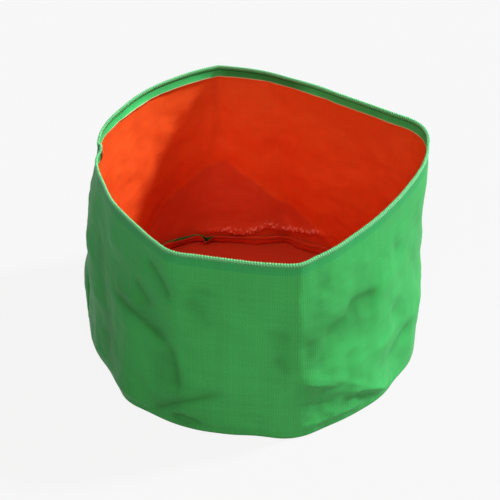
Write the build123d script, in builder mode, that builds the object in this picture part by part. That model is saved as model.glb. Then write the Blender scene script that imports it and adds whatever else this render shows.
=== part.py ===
from build123d import *
from math import cos, radians, sin, tan
import os

# Fabric grow bag, in millimetres.
# A round, open bag sewn from two cut panels of laminated plastic weave: a long strip for the wall
# and a round for the base. It stands empty on the floor, opened out of its flat pack, so the wall
# still carries the two folds of the pack, one at the front and one at the back.
# The origin is the centre of the base on the floor, -Y is the front and the side seam is at -X.

# The cut panels
STRIP_LENGTH = 1436.0  # wall strip between its end seams: 18 inches across when round
BAG_HEIGHT = 298.0  # floor to the folded top edge
BASE_RADIUS = 225.0  # base round at its seam line, drawn in a little by the stitches
WEAVE = 0.4  # green woven tape cloth, the outer face of the sheet
COATING = 0.3  # orange coating bonded to the weave's inner face

# The top edge
HEM_DEPTH = 18.0
OVERLOCK_WIDTH = 4.0
THREAD = 0.5
NEEDLE_GAP = 0.6  # from the loopers' edge to the needle thread's row
PLY_GAP = 0.2  # air between two thicknesses of sheet, and between sheet and thread

# The sewn seams
BASE_ALLOWANCE = 15.0  # width of the turned edges that stand inside the base seam
BASE_LEAN = 12.0  # degrees that those edges lean in from upright
BASE_STITCH = 9.0  # stitch row, measured up the turned edges
SIDE_ALLOWANCE = 11.0  # width of the strip's turned ends
SIDE_STITCH = 7.0  # stitch row, measured in from the wall
SEAM_CLEARANCE = 1.0  # room left where the side seam meets the base seam and the hem

# How the bag stands
KNEE_HEIGHT = 112.0  # where the front and back folds end and the wall turns in towards the base

SHEET = WEAVE + COATING
FLOOR_TOP = WEAVE + COATING
LOW_HEIGHT = 0.5 * KNEE_HEIGHT
MIDDLE_HEIGHT = 1.6 * KNEE_HEIGHT
HEM_LINE = BAG_HEIGHT - HEM_DEPTH
LOOPER_LINE = BAG_HEIGHT - OVERLOCK_WIDTH
NEEDLE_LINE = LOOPER_LINE - NEEDLE_GAP - THREAD

# The wall seen from above, as stretches that start at a fold. Each point is an angle in degrees,
# counter-clockwise from +X, the rim's share of the round bag's radius, and how many millimetres the
# cloth swells out of the straight line from foot to rim, at the low, the knee and the middle height.
WALL_SHAPE = [
    # from the side seam to the front-left bend
    [(173, 0.912, 10, 11, 9), (187, 0.921, 4, 8, 11), (204, 0.926, -3, -1, 1), (225, 0.967, 3, 2, 1)],
    # to the front fold
    [(245, 1.071, 4, 1, -1), (257, 1.056, 2, 2, -2), (271, 1.078, 1, 4, 1)],
    # to the right corner
    [
        (282.4, 1.127, 8, 10, 7), (297, 1.026, 7, 7, 1), (315, 0.948, -2, 1, -2),
        (335, 0.938, -2, 0, 0), (355, 0.990, 6, 5, 0),
    ],
    # to the back fold
    [
        (17, 1.075, 3, 4, 1), (35, 0.948, -1, 0, 0), (54, 0.889, -1, -2, 0),
        (75, 0.932, 5, 4, 0), (91, 1.020, 3, 8, 1),
    ],
    # back to the side seam
    [
        (102, 1.087, 9, 12, 7), (113, 1.055, 8, 14, 5), (128, 1.016, 3, 5, 1),
        (149, 0.974, 1, 1, -2), (163, 0.958, 20, 20, 7),
    ],
]


def ray(angle, length):
    return Vector(cos(radians(angle)), sin(radians(angle))) * length


def close_up(stretches):
    """Add to each stretch the first point of the next one."""
    following = stretches[1:] + stretches[:1]
    return [stretch + [after[0]] for stretch, after in zip(stretches, following)]


# The rim is as long as the wall strip
unit_rim = [[ray(angle, share) for angle, share, *swells in stretch] for stretch in WALL_SHAPE]
RIM_RADIUS = STRIP_LENGTH / sum(Spline(*stretch).length for stretch in close_up(unit_rim))


def swell_at(height, low, knee, middle):
    """How far the cloth swells at a height, in straight steps between the named heights."""
    steps = [(WEAVE, 0), (LOW_HEIGHT, low), (KNEE_HEIGHT, knee), (MIDDLE_HEIGHT, middle), (BAG_HEIGHT, 0)]
    for (under, less), (over, more) in zip(steps, steps[1:]):
        if height <= over:
            return less + (more - less) * (height - under) / (over - under)
    return 0


def wall_points(height):
    """The wall's outer face at a height, as stretches of points."""
    rise = (height - WEAVE) / (BAG_HEIGHT - WEAVE)
    return [
        [
            ray(angle, BASE_RADIUS + (RIM_RADIUS * share - BASE_RADIUS) * rise + swell_at(height, *swells))
            for angle, share, *swells in stretch
        ]
        for stretch in WALL_SHAPE
    ]


def moved_in(stretches, inset):
    """Move an outline's points towards the inside of the bag."""
    ring = [point for stretch in stretches for point in stretch]
    moved = []
    for i, point in enumerate(ring):
        along = (ring[(i + 1) % len(ring)] - ring[i - 1]).normalized()
        moved.append(point + Vector(-along.Y, along.X) * inset)
    sizes = [len(stretch) for stretch in stretches]
    starts = [sum(sizes[:i]) for i in range(len(sizes))]
    return [moved[start : start + size] for start, size in zip(starts, sizes)]


def wall_section(height, inset):
    """The face inside the wall's outline, set in from its outer face."""
    outline = close_up(moved_in(wall_points(height), inset))
    with BuildSketch(Plane.XY.offset(height)) as section:
        with BuildLine():
            for stretch in outline:
                Spline(*stretch)
        make_face()
    return section.sketch


def foot_section(height, inset):
    """The round inside the wall's outline where it meets the base."""
    angles = [stretch[0][0] for stretch in WALL_SHAPE]
    turns = [(end - start) % 360 for start, end in zip(angles, angles[1:] + angles[:1])]
    with BuildSketch(Plane.XY.offset(height)) as section:
        with BuildLine():
            for angle, turn in zip(angles, turns):
                CenterArc((0, 0), BASE_RADIUS - inset, angle, turn)
        make_face()
    return section.sketch


def wall_layer(bottom, top, outer, inner):
    """One layer of the wall, from the base to the top edge."""
    heights = [LOW_HEIGHT, KNEE_HEIGHT, MIDDLE_HEIGHT, HEM_LINE, LOOPER_LINE, top]
    with BuildPart() as layer:
        loft([foot_section(bottom, outer)] + [wall_section(h, outer) for h in heights], ruled=True)
        inside = [foot_section(bottom, inner)] + [wall_section(h, inner) for h in heights]
        loft(inside, ruled=True, mode=Mode.SUBTRACT)
    return layer.part


def rim_band(heights, outer, inner):
    """A band that follows the wall near its top edge, between two depths from its outer face."""
    with BuildPart() as band:
        loft([wall_section(h, outer) for h in heights], ruled=True)
        loft([wall_section(h, inner) for h in heights], ruled=True, mode=Mode.SUBTRACT)
    return band.part


def rim_cap(bottom, outer, inner, thickness):
    """A flat ring that lies over the top edge."""
    with BuildPart() as cap:
        with BuildSketch(Plane.XY.offset(bottom)):
            add(wall_section(bottom, outer))
            add(wall_section(bottom, inner), mode=Mode.SUBTRACT)
        extrude(amount=thickness)
    return cap.part


def save(piece, name):
    piece.label = name
    export_step(piece, f"parts/{name}.step")


os.makedirs("parts", exist_ok=True)

# Wall strip: the weave and its coating
WALL_TOP = BAG_HEIGHT - WEAVE
LINING_TOP = WALL_TOP - COATING
save(wall_layer(WEAVE, WALL_TOP, 0, WEAVE), "wall_fabric")
save(wall_layer(WEAVE, LINING_TOP, WEAVE, SHEET), "wall_lining")

# Hem: the same sheet folded over the top edge and down the inside, green face out
HEM_BACK = SHEET + PLY_GAP
HEM_FACE = HEM_BACK + SHEET
hem_heights = [HEM_LINE, LOOPER_LINE, WALL_TOP]
with BuildPart() as rim_hem_fabric:
    add(rim_band(hem_heights, HEM_FACE - WEAVE, HEM_FACE))
    add(rim_cap(WALL_TOP, 0, HEM_FACE, WEAVE))
save(rim_hem_fabric.part, "rim_hem_fabric")

with BuildPart() as rim_hem_lining:
    add(rim_band([HEM_LINE, LOOPER_LINE, LINING_TOP], HEM_BACK, HEM_BACK + COATING))
    add(rim_cap(LINING_TOP, WEAVE + PLY_GAP, HEM_BACK + COATING, COATING))
save(rim_hem_lining.part, "rim_hem_lining")

# Overlock: one looper covers the outer edge and the top, the other the inner edge, and the needle
# thread runs in a row below them
OUTSIDE = -PLY_GAP
INSIDE = HEM_FACE + PLY_GAP
looper_heights = [LOOPER_LINE, BAG_HEIGHT]
with BuildPart() as rim_overlock_upper_looper:
    add(rim_band(looper_heights, OUTSIDE - THREAD, OUTSIDE))
    add(rim_cap(BAG_HEIGHT, OUTSIDE - THREAD, INSIDE + THREAD, THREAD))
save(rim_overlock_upper_looper.part, "rim_overlock_upper_looper")
save(rim_band(looper_heights, INSIDE, INSIDE + THREAD), "rim_overlock_lower_looper")
needle_heights = [NEEDLE_LINE, NEEDLE_LINE + THREAD]
save(rim_band(needle_heights, OUTSIDE - THREAD, OUTSIDE), "rim_overlock_needle_thread")

# Base round: the weave lies on the floor under the wall, the coating inside the wall
with BuildPart() as base_fabric:
    with BuildSketch():
        Circle(BASE_RADIUS)
    extrude(amount=WEAVE)
save(base_fabric.part, "base_fabric")

with BuildPart() as base_lining:
    with BuildSketch(Plane.XY.offset(WEAVE)):
        Circle(BASE_RADIUS - SHEET)
    extrude(amount=COATING)
save(base_lining.part, "base_lining")


def standing_ring(start, end, outer, inner):
    """A ring up the base seam's turned edges, between two depths in from the outermost face."""
    foot = Vector(BASE_RADIUS - SHEET - PLY_GAP, FLOOR_TOP)
    up = Vector(-sin(radians(BASE_LEAN)), cos(radians(BASE_LEAN)))
    across = Vector(-up.Y, up.X)
    corners = [(start, outer), (end, outer), (end, inner), (start, inner)]
    with BuildPart() as ring:
        with BuildSketch(Plane.XZ):
            with BuildLine():
                Polyline(*[foot + up * rise + across * depth for rise, depth in corners], close=True)
            make_face()
        revolve(axis=Axis.Z)
    return ring.part


# Base seam: both turned edges stand up inside the bag, green faces together, with a thread on
# each side of them
BASE_PLY_BACK = SHEET + PLY_GAP
BASE_PLY_FACE = BASE_PLY_BACK + SHEET
FOOT_LIFT = BASE_PLY_FACE * tan(radians(BASE_LEAN))  # keeps the leaning edges off the base
save(standing_ring(FOOT_LIFT, BASE_ALLOWANCE, 0, SHEET), "base_seam_wall_ply")
save(standing_ring(FOOT_LIFT, BASE_ALLOWANCE, BASE_PLY_BACK, BASE_PLY_FACE), "base_seam_base_ply")
row = (BASE_STITCH, BASE_STITCH + THREAD)
needle_face = BASE_PLY_FACE + PLY_GAP
save(standing_ring(*row, needle_face, needle_face + THREAD), "base_seam_needle_thread")
save(standing_ring(*row, -PLY_GAP - THREAD, -PLY_GAP), "base_seam_bobbin_thread")


def seam_plane(height):
    """The side seam at a height, with x pointing into the bag and y to the back."""
    level = wall_points(height)
    point = level[0][0]
    inward = (moved_in(level, 1)[0][0] - point).normalized()
    inner_face = point + inward * (SHEET + PLY_GAP)
    return Plane(origin=(inner_face.X, inner_face.Y, height), x_dir=inward, z_dir=(0, 0, 1))


def seam_strip(start, end, front, back):
    """An upright strip at the side seam, placed by its distances into the bag and to the back."""
    bottom = FLOOR_TOP + BASE_ALLOWANCE * cos(radians(BASE_LEAN)) + SEAM_CLEARANCE
    sections = []
    for height in [bottom, LOW_HEIGHT, KNEE_HEIGHT, MIDDLE_HEIGHT, HEM_LINE - SEAM_CLEARANCE]:
        with BuildSketch(seam_plane(height)) as section:
            with Locations(((start + end) / 2, (front + back) / 2)):
                Rectangle(end - start, back - front)
        sections.append(section.sketch)
    with BuildPart() as strip:
        loft(sections, ruled=True)
    return strip.part


# Side seam: the strip's two ends are turned in, green faces together, and sewn
PLY_IN = PLY_GAP / 2
PLY_OUT = PLY_IN + SHEET
THREAD_IN = PLY_OUT + PLY_GAP
save(seam_strip(0, SIDE_ALLOWANCE, -PLY_OUT, -PLY_IN), "side_seam_front_ply")
save(seam_strip(0, SIDE_ALLOWANCE, PLY_IN, PLY_OUT), "side_seam_back_ply")
row = (SIDE_STITCH, SIDE_STITCH + THREAD)
save(seam_strip(*row, -THREAD_IN - THREAD, -THREAD_IN), "side_seam_needle_thread")
save(seam_strip(*row, THREAD_IN, THREAD_IN + THREAD), "side_seam_bobbin_thread")
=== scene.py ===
# %% [markdown]
# # A fabric grow bag
# A grow bag is a planter sewn from plastic cloth: a long strip for the wall, a round for the base, a
# hem round the mouth and an overlock over its edge. The cloth is green woven tape with an orange
# coating inside. The model could be sculpted by hand, draped by a cloth simulation, or worked out from
# the flat strip. This lesson takes the last way, because a stiff coated cloth keeps the folds of its
# pack: every layer is a grid on the flat strip, and one function says where the strip stands.
# The first cell loads the fixed frame, whose nodes give all the sizes.

# %% Load the frame
import math

import bmesh
import bpy
import numpy as np
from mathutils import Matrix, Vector


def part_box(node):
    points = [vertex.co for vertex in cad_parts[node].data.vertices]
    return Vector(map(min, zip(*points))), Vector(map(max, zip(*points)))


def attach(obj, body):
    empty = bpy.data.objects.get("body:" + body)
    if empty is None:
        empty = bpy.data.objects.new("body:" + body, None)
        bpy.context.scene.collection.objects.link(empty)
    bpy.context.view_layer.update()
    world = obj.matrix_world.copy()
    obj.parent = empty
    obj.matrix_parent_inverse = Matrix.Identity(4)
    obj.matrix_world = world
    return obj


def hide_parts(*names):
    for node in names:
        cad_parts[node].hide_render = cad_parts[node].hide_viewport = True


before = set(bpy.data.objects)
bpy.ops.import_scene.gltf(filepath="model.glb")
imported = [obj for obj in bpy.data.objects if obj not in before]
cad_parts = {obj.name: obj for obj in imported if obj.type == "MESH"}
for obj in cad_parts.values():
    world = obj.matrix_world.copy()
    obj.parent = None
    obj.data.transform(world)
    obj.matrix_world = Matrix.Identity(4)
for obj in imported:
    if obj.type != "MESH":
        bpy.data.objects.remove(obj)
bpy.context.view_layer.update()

MM = 0.001
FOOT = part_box("base_fabric")[1].x
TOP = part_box("wall_fabric")[1].z
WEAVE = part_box("base_fabric")[1].z
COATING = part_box("base_lining")[1].z - WEAVE
HEM_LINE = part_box("rim_hem_fabric")[0].z
OVERLOCK_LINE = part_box("rim_overlock_lower_looper")[0].z
SEAM_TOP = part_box("base_seam_base_ply")[1].z
SHEET = WEAVE + COATING
print(f"foot radius {FOOT:.4f} m, wall top {TOP:.4f} m, sheet {SHEET * 1000:.2f} mm")

# %% [markdown]
# ## Where the camera stands
# The bag is seen from the front and from well above, so that the mouth shows the inside as far as the
# base. A long lens from two and a half metres keeps the walls nearly parallel.

# %% Camera
CAMERA_DISTANCE = 2.5
CAMERA_TILT = math.radians(35.54)
LENS = 131.2
LOOK_AT = Vector((-0.0053, -0.0004, 0.1443))


def new_object(name, data):
    """An object of the scene that holds some data."""
    holder = bpy.data.objects.new(name, data)
    bpy.context.scene.collection.objects.link(holder)
    return holder


camera = new_object("camera", bpy.data.cameras.new("camera"))
camera.data.lens = LENS
away = Vector((0, -math.cos(CAMERA_TILT), math.sin(CAMERA_TILT)))
camera.location = LOOK_AT + away * CAMERA_DISTANCE
camera.rotation_euler = (math.pi / 2 - CAMERA_TILT, 0, 0)
bpy.context.scene.camera = camera
bpy.context.scene.view_settings.view_transform = "Standard"
print("camera at", [round(x, 3) for x in camera.location])

# %% [markdown]
# ## The two outlines
# Seen from above, the mouth and the foot are soft closed curves with a few corners where the cloth was
# folded. They could be splines worked out in code, but Blender's own Bezier curve does it well: a knot
# with AUTO handles rounds the curve off, and one with VECTOR handles leaves a fold. Each knot is an
# angle in degrees, counter-clockwise from +X, and a share of the foot's radius.

# %% Knots of the mouth and the foot
MOUTH = [
    (173, 0.935), (186, 0.926), (199, 0.918), (210, 0.936), (219, 0.950), (229, 0.982), (237, 1.027),
    (245, 1.070), (253, 1.056), (262, 1.056), (270, 1.076), (277, 1.100), (280.7, 1.114),
    (282.6, 1.116), (284.6, 1.106), (288, 1.080), (295, 1.038), (304, 0.985), (314, 0.951),
    (327, 0.932), (340, 0.943), (355, 0.990), (6, 1.035), (15, 1.071), (21, 1.058), (30, 0.978),
    (40, 0.919), (52, 0.889), (64, 0.902), (75, 0.930), (86, 0.992), (95, 1.042), (102, 1.086),
    (109, 1.066), (119, 1.036), (131, 1.010), (145, 0.978), (161, 0.962),
]
FRONT_FOLD_ANGLE = 282.4
BACK_FOLD_ANGLE = 102
FOOTPRINT = [
    (174.5, 1.047), (179, 1.030), (184, 1.016), (193, 0.989), (203, 0.962), (213, 0.979),
    (221, 1.006), (230, 0.991), (245, 0.988), (260, 0.978), (270, 0.978), (283, 1.025), (296, 0.994),
    (312, 0.982), (322, 0.985), (331, 0.975), (345, 1.004), (0, 1.006), (15, 1.009), (30, 0.984),
    (46, 0.991), (58, 0.971), (71, 0.966), (77.5, 1.014), (83.5, 0.984), (89, 0.966), (96, 0.991),
    (104, 1.027), (111, 1.067), (117, 1.076), (123, 1.071), (134, 1.058), (148, 1.049), (161, 1.050),
    (167.5, 1.072), (171.8, 1.059),
]


# %% Outlines
def curve_mesh(curve):
    """The mesh of a curve, which is then thrown away."""
    holder = bpy.data.objects.new(curve.name, curve)
    mesh = bpy.data.meshes.new_from_object(holder)
    bpy.data.objects.remove(holder)
    bpy.data.curves.remove(curve)
    return mesh


def outline(name, knots, folds=()):
    """Points round a closed curve through the knots, in the order of the knots."""
    curve = bpy.data.curves.new(name, "CURVE")
    curve.resolution_u = 24
    spline = curve.splines.new("BEZIER")
    spline.bezier_points.add(len(knots) - 1)
    for knot, (angle, share) in zip(spline.bezier_points, knots):
        turn = math.radians(angle)
        knot.co = (share * FOOT * math.cos(turn), share * FOOT * math.sin(turn), 0)
        knot.handle_left_type = knot.handle_right_type = "VECTOR" if angle in folds else "AUTO"
    spline.use_cyclic_u = True
    mesh = curve_mesh(curve)
    points = np.array([vertex.co[:2] for vertex in mesh.vertices])
    bpy.data.meshes.remove(mesh)
    return np.vstack([points, points[:1]])


mouth = outline("mouth", MOUTH, [BACK_FOLD_ANGLE])
travelled = np.concatenate([[0], np.cumsum(np.linalg.norm(np.diff(mouth, axis=0), axis=1))])
STRIP = travelled[-1]
footprint = outline("footprint", FOOTPRINT)
foot_angles = np.unwrap(np.arctan2(footprint[:, 1], footprint[:, 0]))
foot_radii = np.hypot(footprint[:, 0], footprint[:, 1])
print(f"the mouth is {STRIP * 1000:.0f} mm round")

# %% [markdown]
# ## The strip, stood up
# A place on the wall strip is `u`, the share of the way round from the side seam, and `z`, the height.
# Straight lines join the foot to the mouth, as in cloth pulled tight between two edges. The fold at the
# back drifts a little to one side as it goes down, so the mouth's curve is read a little off there.

# %% Straight wall between the outlines
SEAM_ANGLE = math.radians(174.5)
mouth_angles = np.unwrap(np.arctan2(mouth[:, 1], mouth[:, 0]))


def mouth_share(angle):
    """The share of the strip at which the mouth passes an angle in degrees."""
    turn = (math.radians(angle) - mouth_angles[0]) % (2 * math.pi)
    return float(np.interp(turn, mouth_angles - mouth_angles[0], travelled)) / STRIP


FRONT_FOLD, BACK_FOLD = mouth_share(FRONT_FOLD_ANGLE), mouth_share(BACK_FOLD_ANGLE)


def mouth_at(u):
    """Where the mouth passes, seen from above."""
    way = np.mod(u, 1) * STRIP
    return np.stack([np.interp(way, travelled, mouth[:, i]) for i in (0, 1)], -1)


def foot_at(u):
    """Where the foot stands, seen from above."""
    angle = SEAM_ANGLE + 2 * np.pi * np.mod(u, 1)
    start = foot_angles[0]
    radius = np.interp(np.mod(angle - start, 2 * np.pi), foot_angles - start, foot_radii)
    return np.stack([radius * np.cos(angle), radius * np.sin(angle)], -1)


def drift(u, z):
    """How far the back fold leans to the left as it goes down, as a share of the strip."""
    most, width = 0.035, 0.05
    fall = np.clip(1 - z / TOP, 0, 0.55) ** 2
    return most * fall * np.exp(-(((u - BACK_FOLD) / width) ** 2))


def straight_wall(u, z):
    """Where the wall would pass if it had no relief, seen from above."""
    rise = (z / TOP)[..., None]
    return foot_at(u) * (1 - rise) + mouth_at(u - drift(u, z)) * rise


def strip_at(angle, z):
    """The place on the strip that stands at an angle in degrees, seen from above, and a height."""
    ring = np.linspace(0, 1, 2001)
    points = straight_wall(ring, np.full(ring.shape, z))
    angles = np.unwrap(np.arctan2(points[:, 1], points[:, 0]))
    turn = (math.radians(angle) - angles[0]) % (2 * math.pi)
    return float(np.interp(turn, angles - angles[0], ring))


print(f"front fold at {FRONT_FOLD:.3f} of the strip, back fold at {BACK_FOLD:.3f}")

# %% [markdown]
# ## Folds, dents and ripples
# The relief is how far the cloth stands out from the straight wall, in metres. It has three sorts of
# form, each a small function that returns a field over the strip:
# - a **knee**, where the wall leans out to a fold and tucks in again under it, as a flat-packed bag
# does when it is opened out;
# - a **fold**, a line that was creased, with a soft slope on each side;
# - a **swell**, a wide soft bulge or dent.
# Seeded waves add the unevenness of handled cloth. All the shapes are sums, so they are easy to change.


# %% Knee
KNEE_REACH = 150 * MM


def knee(path, bulges):
    """A fold line of (angle, height in mm) points; the wall bulges out to it by so many mm."""
    places = [strip_at(angle, height * MM) for angle, height in path]
    heights = [height * MM for angle, height in path]
    order = np.argsort(places)
    places = np.array(places)[order]
    heights = np.array(heights)[order]
    bulges = np.array(bulges)[order] * MM

    def field(u, z):
        line = np.interp(u, places, heights, left=0, right=0)
        bulge = np.interp(u, places, bulges, left=0, right=0)
        under = z / np.maximum(line, MM)
        over = np.clip(1 - (z - line) / KNEE_REACH, 0, 1) ** 1.5
        return bulge * np.minimum(under, over)

    return field


# %% Fold
def fold(path, depth, reach_left, reach_right, soft=1.2):
    """A crease along (angle, height in mm) points; sizes are in mm and depth is outwards."""
    points = np.array([(strip_at(angle, height * MM) * STRIP, height * MM) for angle, height in path])
    runs = np.diff(points, axis=0)
    lengths = np.linalg.norm(runs, axis=1)
    total = lengths.sum()

    def field(u, z):
        nearest = np.full(u.shape, 1e9)
        reach = np.ones(u.shape)
        fade = np.zeros(u.shape)
        gone = 0
        for start, run, length in zip(points, runs, lengths):
            x = np.mod(u * STRIP - start[0] + STRIP / 2, STRIP) - STRIP / 2
            y = z - start[1]
            share = np.clip((x * run[0] + y * run[1]) / length**2, 0, 1)
            gap = np.hypot(x - share * run[0], y - share * run[1])
            side = run[0] * y - run[1] * x
            way = (gone + share * length) / total
            near = gap < nearest
            nearest = np.where(near, gap, nearest)
            reach = np.where(near, np.where(side > 0, reach_left, reach_right) * MM, reach)
            fade = np.where(near, np.minimum(1, 4 * np.minimum(way, 1 - way) + 0.12), fade)
            gone += length
        slope = (np.hypot(nearest, soft * MM) - soft * MM) / reach
        return depth * MM * fade * np.exp(-slope)

    return field


# %% Swell
def swell(angle, height, depth, wide, tall):
    """A bulge at an angle and a height, as deep, wide and tall as given in mm."""
    middle = strip_at(angle, height * MM)

    def field(u, z):
        x = (np.mod(u - middle + 0.5, 1) - 0.5) * STRIP / (wide * MM)
        y = (z - height * MM) / (tall * MM)
        return depth * MM * np.exp(-(x**2) - y**2)

    return field


# %% Ripples
def ripples(seed, count, shortest, longest, depth):
    """Seeded waves over the strip, with lengths and a depth in mm, that close at the side seam."""
    draw = np.random.default_rng(seed)
    lengths = draw.uniform(shortest, longest, count) * MM
    turns = draw.uniform(0, np.pi, count)
    starts = draw.uniform(0, 2 * np.pi, count)
    around = np.round(STRIP * np.cos(turns) / lengths)
    upwards = np.sin(turns) / lengths

    def field(u, z):
        waves = sum(np.cos(2 * np.pi * (a * u + b * z) + s) for a, b, s in zip(around, upwards, starts))
        return depth * MM * waves / math.sqrt(count / 2)

    return field


# %% [markdown]
# ### Where the folds are
# The knee at the front runs from the left of the foot up to the fold of the pack and down again on the
# right, and the one at the back is taller. Angles run counter-clockwise from above: 180 is the side
# seam's side, 270 the front and 90 the back.

# %% Knee lines
FRONT_KNEE = [
    (228, 1), (232.4, 12), (248.8, 57), (260.6, 75), (271.6, 89), (276.6, 101), (282.4, 117),
    (288.8, 104), (295.5, 90), (304.7, 64), (316.3, 29), (327, 1),
]
FRONT_BULGE = [0, 2, 6, 7, 8, 9, 10, 12, 12.5, 11, 6, 0]
BACK_KNEE = [
    (52, 1), (66.6, 53), (73.6, 63), (80.2, 76), (87.9, 101), (95.5, 122), (100.7, 139), (106.5, 127),
    (113.1, 103), (120.9, 85), (125.7, 68), (130.4, 51), (140, 28), (150, 1),
]
BACK_BULGE = [0, 6, 8, 9, 10, 12, 13, 13, 11, 10, 8, 6, 3, 0]
RIGHT_KNEE = [(334, 30), (341, 60), (350, 84), (2, 92), (15, 84), (28, 58), (36, 20)]
RIGHT_BULGE = [0, 3, 5, 5, 4, 3, 0]
LEFT_KNEE = [(186, 2), (192, 15), (202, 18), (213, 19), (222, 17), (230, 12), (237, 2)]
LEFT_BULGE = [0, 3, 5, 5, 5, 3, 0]

# %% The bag's own folds
crumpled = fold(
    [(54, 36), (57, 42), (61, 34), (64.4, 37), (69.5, 31), (73, 29), (77.5, 23), (81.6, 27), (84.1, 32),
     (87.8, 26), (92.2, 19), (95.7, 17), (100.5, 21), (104, 18), (108, 18), (112, 16)],
    -3.5, 9, 4, soft=0.8)
forms = [
    knee(FRONT_KNEE, FRONT_BULGE),
    knee(BACK_KNEE, BACK_BULGE),
    knee(RIGHT_KNEE, RIGHT_BULGE),
    knee(LEFT_KNEE, LEFT_BULGE),
    # the left side: a broad bulge before the side seam, and a fuller one behind it
    swell(185, 148, 11, 52, 85),
    swell(166, 76, 10, 26, 56),
    swell(168, 236, 2.5, 30, 34),
    swell(0, 248, 4, 60, 55),
    # front left: the soft bend under the mouth's corner, then the slanting creases beside it
    fold([(242, 290), (243, 242), (243.3, 203), (243.6, 165)], 2.0, 16, 28, soft=3),
    fold([(240, 142), (243, 128), (243.8, 100), (244.6, 60)], -4.2, 4, 24, soft=1.5),
    fold([(231, 264), (238, 244), (241, 228), (243, 206)], -3.8, 10, 9, soft=1.5),
    fold([(224, 208), (227, 206), (230.5, 195), (233.5, 180)], -2.8, 12, 9, soft=2),
    fold([(209, 158), (218, 156), (224.5, 153), (230.3, 147), (235.1, 141), (242, 138)], -4.6, 34, 7),
    fold([(211, 184), (216.5, 174), (223, 175), (227, 171)], 2.4, 9, 9, soft=3),
    fold([(196, 240), (198, 150), (206, 70), (214, 20)], -2.6, 20, 26, soft=5),
    # small creases on the front
    fold([(248.5, 245), (253, 241), (257.5, 238)], -1.8, 5, 12, soft=1),
    fold([(247, 226), (252, 210), (257, 170)], -2.6, 16, 22, soft=4),
    fold([(272, 187), (277.7, 186), (281.5, 181)], -2.0, 6, 14, soft=1.5),
    fold([(276, 150), (279.6, 127), (281.3, 114)], -2.4, 10, 14, soft=3),
    # the lowest strip at the front left, folded under the knee
    fold([(230, 3), (239.3, 31), (246.2, 50), (256.9, 70), (262, 76)], -4.4, 14, 8, soft=0.7),
    fold([(239, 11), (245, 21), (249, 17), (253.5, 5)], -4.0, 5, 6, soft=1),
    fold([(266, 62), (271.3, 66), (276, 66), (280, 74)], 0.9, 6, 10, soft=1),
    # the fold of the pack, down the front
    fold([(282.4, 272), (282.3, 243), (282.3, 191), (282.3, 141), (282.3, 110)], 2.4, 17, 6.5),
    # right of the front fold: dents, and the crest and the small creases at the knee
    swell(291, 246, -2.0, 13, 13),
    swell(286.5, 146, -1.4, 9, 24),
    swell(290, 124, -2.2, 10, 13),
    swell(303, 112, -1.8, 14, 9),
    fold([(301, 186), (307, 190), (313, 186), (319, 178)], -4.2, 8, 26, soft=2),
    fold([(305, 190), (300, 175), (294, 168), (291.5, 152)], -2.6, 20, 9, soft=2),
    swell(329, 121, -2.4, 15, 16),
    fold([(346, 70), (334, 62), (329, 52), (321, 49)], -2.8, 16, 8, soft=2),
    fold([(328, 246), (329.5, 236), (332.6, 203)], -1.8, 8, 8, soft=2),
    fold([(324, 246), (327, 205), (328, 165)], 2.0, 10, 12, soft=3),
    fold([(281.5, 109), (286, 99), (291, 89), (297, 76)], 4.2, 15, 5, soft=0.9),
    fold([(302, 54), (308, 44), (316, 29), (324, 10)], 5.0, 20, 5, soft=0.8),
    fold([(284, 66), (288, 57), (294, 49), (299, 44)], -2.2, 12, 12, soft=0.8),
    fold([(299, 47), (306, 38), (313, 25), (318, 13)], -2.8, 7, 12, soft=0.8),
    fold([(318, 6), (308.3, 9), (300.2, 18), (292, 17), (283, 24)], 2.2, 6, 14, soft=1),
    fold([(304, 84), (309, 96), (322, 92), (334, 98)], 2.2, 12, 22, soft=2),
    fold([(350, 262), (352, 180), (348, 110)], -1.8, 22, 30, soft=6),
    # the back's corner, from the mouth down to the fold lines, and the crease that leaves it there
    fold([(101.9, 280), (101.4, 226), (101.2, 185), (100.7, 148)], 2.2, 16, 9, soft=1),
    fold([(102.4, 276), (103.5, 235), (104.4, 203), (105.4, 169), (106.4, 138)], -2.2, 7, 14, soft=1),
    # back right, seen from inside
    fold([(60, 262), (57, 200), (63, 120)], 2.0, 50, 60, soft=8),
    fold([(33, 250), (28, 190), (36, 120)], -2.0, 40, 30, soft=8),
    # the crumpled crease inside, just above the base seam
    crumpled,
]
BROAD_RIPPLES = ripples(3, 14, 120, 320, 1.1)
HAND_RIPPLES = ripples(5, 30, 34, 90, 0.62)
FINE_RIPPLES = ripples(8, 36, 14, 32, 0.15)
PUCKERS = ripples(13, 16, 11, 24, 0.5)
print(len(forms), "knees, folds and swells on the wall")

# %% [markdown]
# ### The side seam's curl
# At the side seam both ends of the strip turn inwards. At the mouth the front end does so in a wide
# curl, which hides the flaps inside, and the back end in a short one. Lower down the seam is only a
# narrow groove, pinched deeper at a third of the height, where the cloth behind it bulges.


# %% Curl at the side seam
PINCH_HEIGHT, PINCH_REACH = 95 * MM, 75 * MM
CURL_HEIGHT, CURL_REACH = 258 * MM, 34 * MM


def seam_curl(u, z):
    """How deep the wall turns in at the side seam."""
    front = np.mod(u, 1) * STRIP
    back = STRIP - front
    narrow = np.clip(1 - front / (14 * MM), 0, 1) ** 2 + np.clip(1 - back / (6 * MM), 0, 1) ** 2
    pinch = 8 * np.exp(-(((z - PINCH_HEIGHT) / PINCH_REACH) ** 2))
    groove = (1.8 + pinch) * np.minimum(narrow, 1)
    wide = np.interp(front, np.array([0, 9, 15, 21, 31, 42]) * MM, [3.8, 5.0, 4.4, 2.8, 0.9, 0])
    short = 5.0 * np.clip(1 - back / (5 * MM), 0, 1) ** 2
    near_mouth = np.clip((z - CURL_HEIGHT) / CURL_REACH, 0, 1)
    near_mouth = near_mouth**2 * (3 - 2 * near_mouth)
    return -MM * np.maximum(groove, near_mouth * np.maximum(wide, short))


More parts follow.
